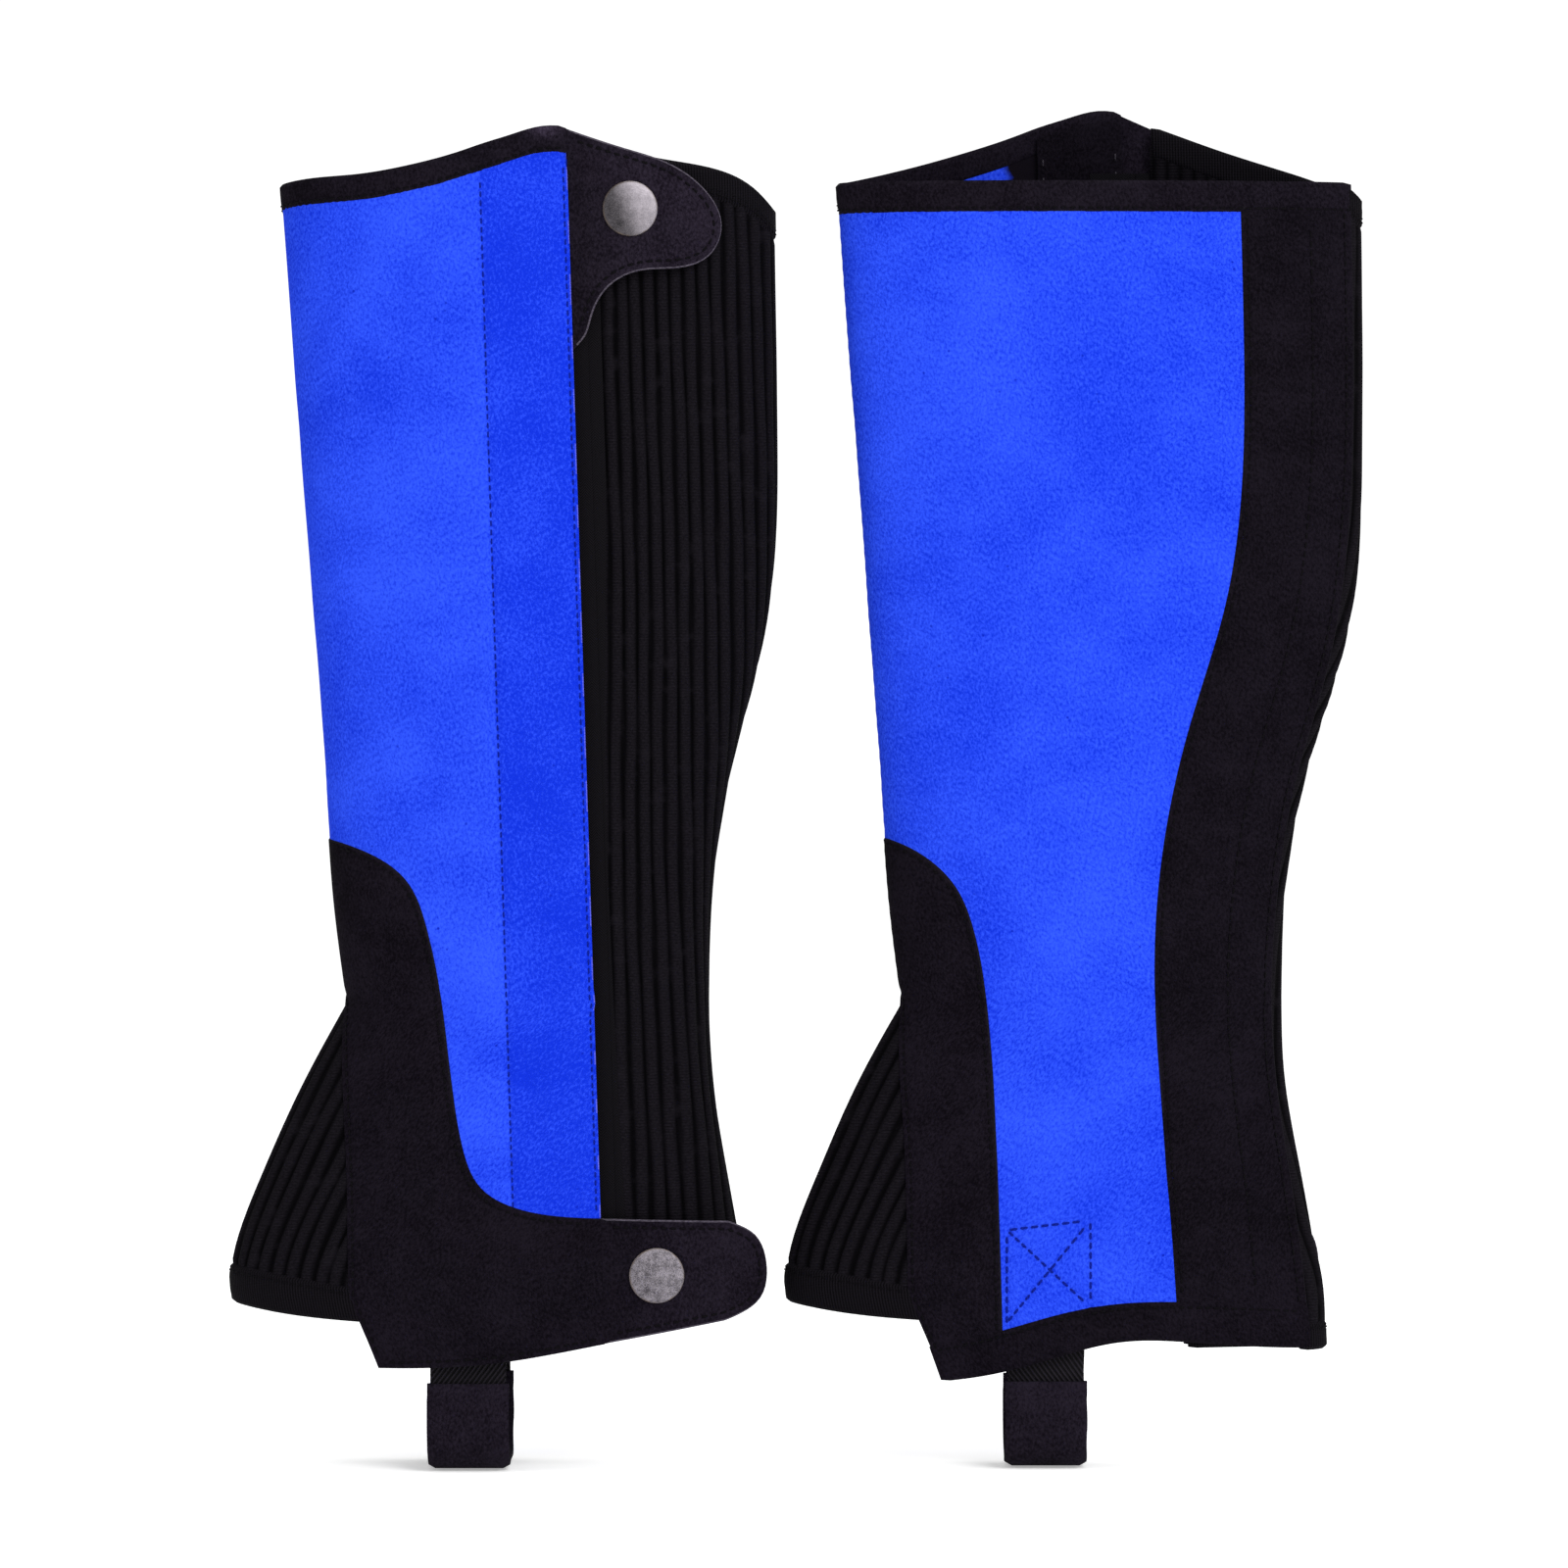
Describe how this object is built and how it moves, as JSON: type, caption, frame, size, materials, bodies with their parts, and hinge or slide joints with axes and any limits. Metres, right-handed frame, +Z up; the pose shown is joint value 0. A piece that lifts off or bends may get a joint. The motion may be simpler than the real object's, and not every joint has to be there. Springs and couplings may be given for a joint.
{
  "type": "riding gaiters",
  "caption": "Pair of suede riding half chaps that wrap the lower leg, with a zipped and snapped outer flap, ribbed stretch panels and a foot strap.",
  "frame": {"origin": "on the ground under the middle of the pair, at the level of the foot straps' undersides", "axes": "+Z up the leg, -X toward the toes of both gaiters, -Y the outer side of the left gaiter and the inner side of the right one"},
  "size_m": [0.3739, 0.0621, 0.4473],
  "materials": {
    "blue_suede": "napped suede",
    "black_suede": "napped suede",
    "ribbed_elastic": "ribbed knit elastic",
    "woven_elastic": "woven elastic tape",
    "zip_tape": "fine woven tape",
    "webbing": "twill webbing",
    "zip_plastic": "satin coil",
    "gunmetal": "dull gunmetal"
  },
  "bodies": {
    "left_shell": {"left_main_panel": "blue_suede", "left_top_binding": "black_suede", "left_calf_panel": "black_suede", "left_stretch_panel": "ribbed_elastic", "left_rim_elastic": "woven_elastic", "left_ankle_patch": "black_suede", "left_hem_binding": "black_suede", "left_instep_gusset": "ribbed_elastic", "left_gusset_binding": "black_suede", "left_zip_tape_rear": "zip_tape", "left_zip_row_rear": "zip_plastic", "left_zip_box": "zip_plastic", "left_snap_studs": "gunmetal", "left_strap_anchors": "webbing"},
    "left_flap": {"left_zip_flap": "blue_suede", "left_flap_binding": "black_suede", "left_flap_foot": "black_suede", "left_flap_facing": "black_suede", "left_zip_tape_front": "zip_tape", "left_zip_row_front": "zip_plastic"},
    "left_top_tab": {"left_top_tab": "black_suede", "left_top_cap": "gunmetal", "left_top_socket": "gunmetal"},
    "left_foot_tab": {"left_foot_tab": "black_suede", "left_foot_cap": "gunmetal", "left_foot_socket": "gunmetal"},
    "left_slider": {"left_zip_slider": "gunmetal"},
    "left_pull": {"left_zip_pull": "gunmetal"},
    "left_strap": {"left_strap_webbing": "webbing", "left_strap_sleeve": "black_suede"},
    "right_shell": {"right_main_panel": "blue_suede", "right_top_binding": "black_suede", "right_calf_panel": "black_suede", "right_stretch_panel": "ribbed_elastic", "right_rim_elastic": "woven_elastic", "right_ankle_patch": "black_suede", "right_hem_binding": "black_suede", "right_instep_gusset": "ribbed_elastic", "right_gusset_binding": "black_suede", "right_zip_tape_rear": "zip_tape", "right_zip_row_rear": "zip_plastic", "right_zip_box": "zip_plastic", "right_snap_studs": "gunmetal", "right_strap_anchors": "webbing"},
    "right_flap": {"right_zip_flap": "blue_suede", "right_flap_binding": "black_suede", "right_flap_foot": "black_suede", "right_flap_facing": "black_suede", "right_zip_tape_front": "zip_tape", "right_zip_row_front": "zip_plastic"},
    "right_top_tab": {"right_top_tab": "black_suede", "right_top_cap": "gunmetal", "right_top_socket": "gunmetal"},
    "right_foot_tab": {"right_foot_tab": "black_suede", "right_foot_cap": "gunmetal", "right_foot_socket": "gunmetal"},
    "right_slider": {"right_zip_slider": "gunmetal"},
    "right_pull": {"right_zip_pull": "gunmetal"},
    "right_strap": {"right_strap_webbing": "webbing", "right_strap_sleeve": "black_suede"}
  },
  "joints": [
    {"name": "left_flap_open", "type": "hinge", "parent": "left_shell", "child": "left_flap", "pos_m": [-0.09674, -0.03035, 0.236], "axis": [0.0316, 0, -0.9995], "range_deg": [0, 110.5]},
    {"name": "left_zip_slide", "type": "slide", "parent": "left_flap", "child": "left_slider", "axis": [0.0316, 0, -0.9995], "range_m": [0, 0.34]},
    {"name": "left_top_tab_open", "type": "hinge", "parent": "left_flap", "child": "left_top_tab", "pos_m": [-0.07343, -0.0304, 0.402], "axis": [0.0316, 0, -0.9995], "range_deg": [0, 95]},
    {"name": "left_foot_tab_open", "type": "hinge", "parent": "left_flap", "child": "left_foot_tab", "pos_m": [-0.06269, -0.0304, 0.062], "axis": [0.0316, 0, -0.9995], "range_deg": [0, 95]},
    {"name": "left_pull_turn", "type": "hinge", "parent": "left_slider", "child": "left_pull", "pos_m": [-0.07005, -0.02795, 0.40731], "axis": [-0.9995, 0, -0.0316], "range_deg": [0, 24.2]},
    {"name": "left_strap_swing", "type": "hinge", "parent": "left_shell", "child": "left_strap", "pos_m": [-0.107, 0, 0.035], "axis": [0, 1, 0], "range_deg": [-25, 25]},
    {"name": "right_flap_open", "type": "hinge", "parent": "right_shell", "child": "right_flap", "pos_m": [0.08626, 0.02135, 0.236], "axis": [-0.0316, 0, 0.9995], "range_deg": [0, 110.5]},
    {"name": "right_zip_slide", "type": "slide", "parent": "right_flap", "child": "right_slider", "axis": [0.0316, 0, -0.9995], "range_m": [0, 0.34]},
    {"name": "right_top_tab_open", "type": "hinge", "parent": "right_flap", "child": "right_top_tab", "pos_m": [0.10957, 0.0214, 0.402], "axis": [-0.0316, 0, 0.9995], "range_deg": [0, 95]},
    {"name": "right_foot_tab_open", "type": "hinge", "parent": "right_flap", "child": "right_foot_tab", "pos_m": [0.12031, 0.0214, 0.062], "axis": [-0.0316, 0, 0.9995], "range_deg": [0, 95]},
    {"name": "right_pull_turn", "type": "hinge", "parent": "right_slider", "child": "right_pull", "pos_m": [0.11295, 0.01895, 0.40731], "axis": [0.9995, 0, 0.0316], "range_deg": [0, 24.2]},
    {"name": "right_strap_swing", "type": "hinge", "parent": "right_shell", "child": "right_strap", "pos_m": [0.0825, 0, 0.035], "axis": [0, 1, 0], "range_deg": [-25, 25]},
    {"name": "pair_spread", "type": "slide", "parent": "left_shell", "child": "right_shell", "axis": [1, 0, 0], "range_m": [0, 0.15]}
  ],
  "couplings": [
    {"joint": "left_flap_open", "follows": "left_zip_slide", "rad_per_m": 5.6467},
    {"joint": "left_pull_turn", "follows": "left_top_tab_open", "ratio": 0.25},
    {"joint": "right_flap_open", "follows": "right_zip_slide", "rad_per_m": 5.6467},
    {"joint": "right_pull_turn", "follows": "right_top_tab_open", "ratio": 0.25}
  ]
}
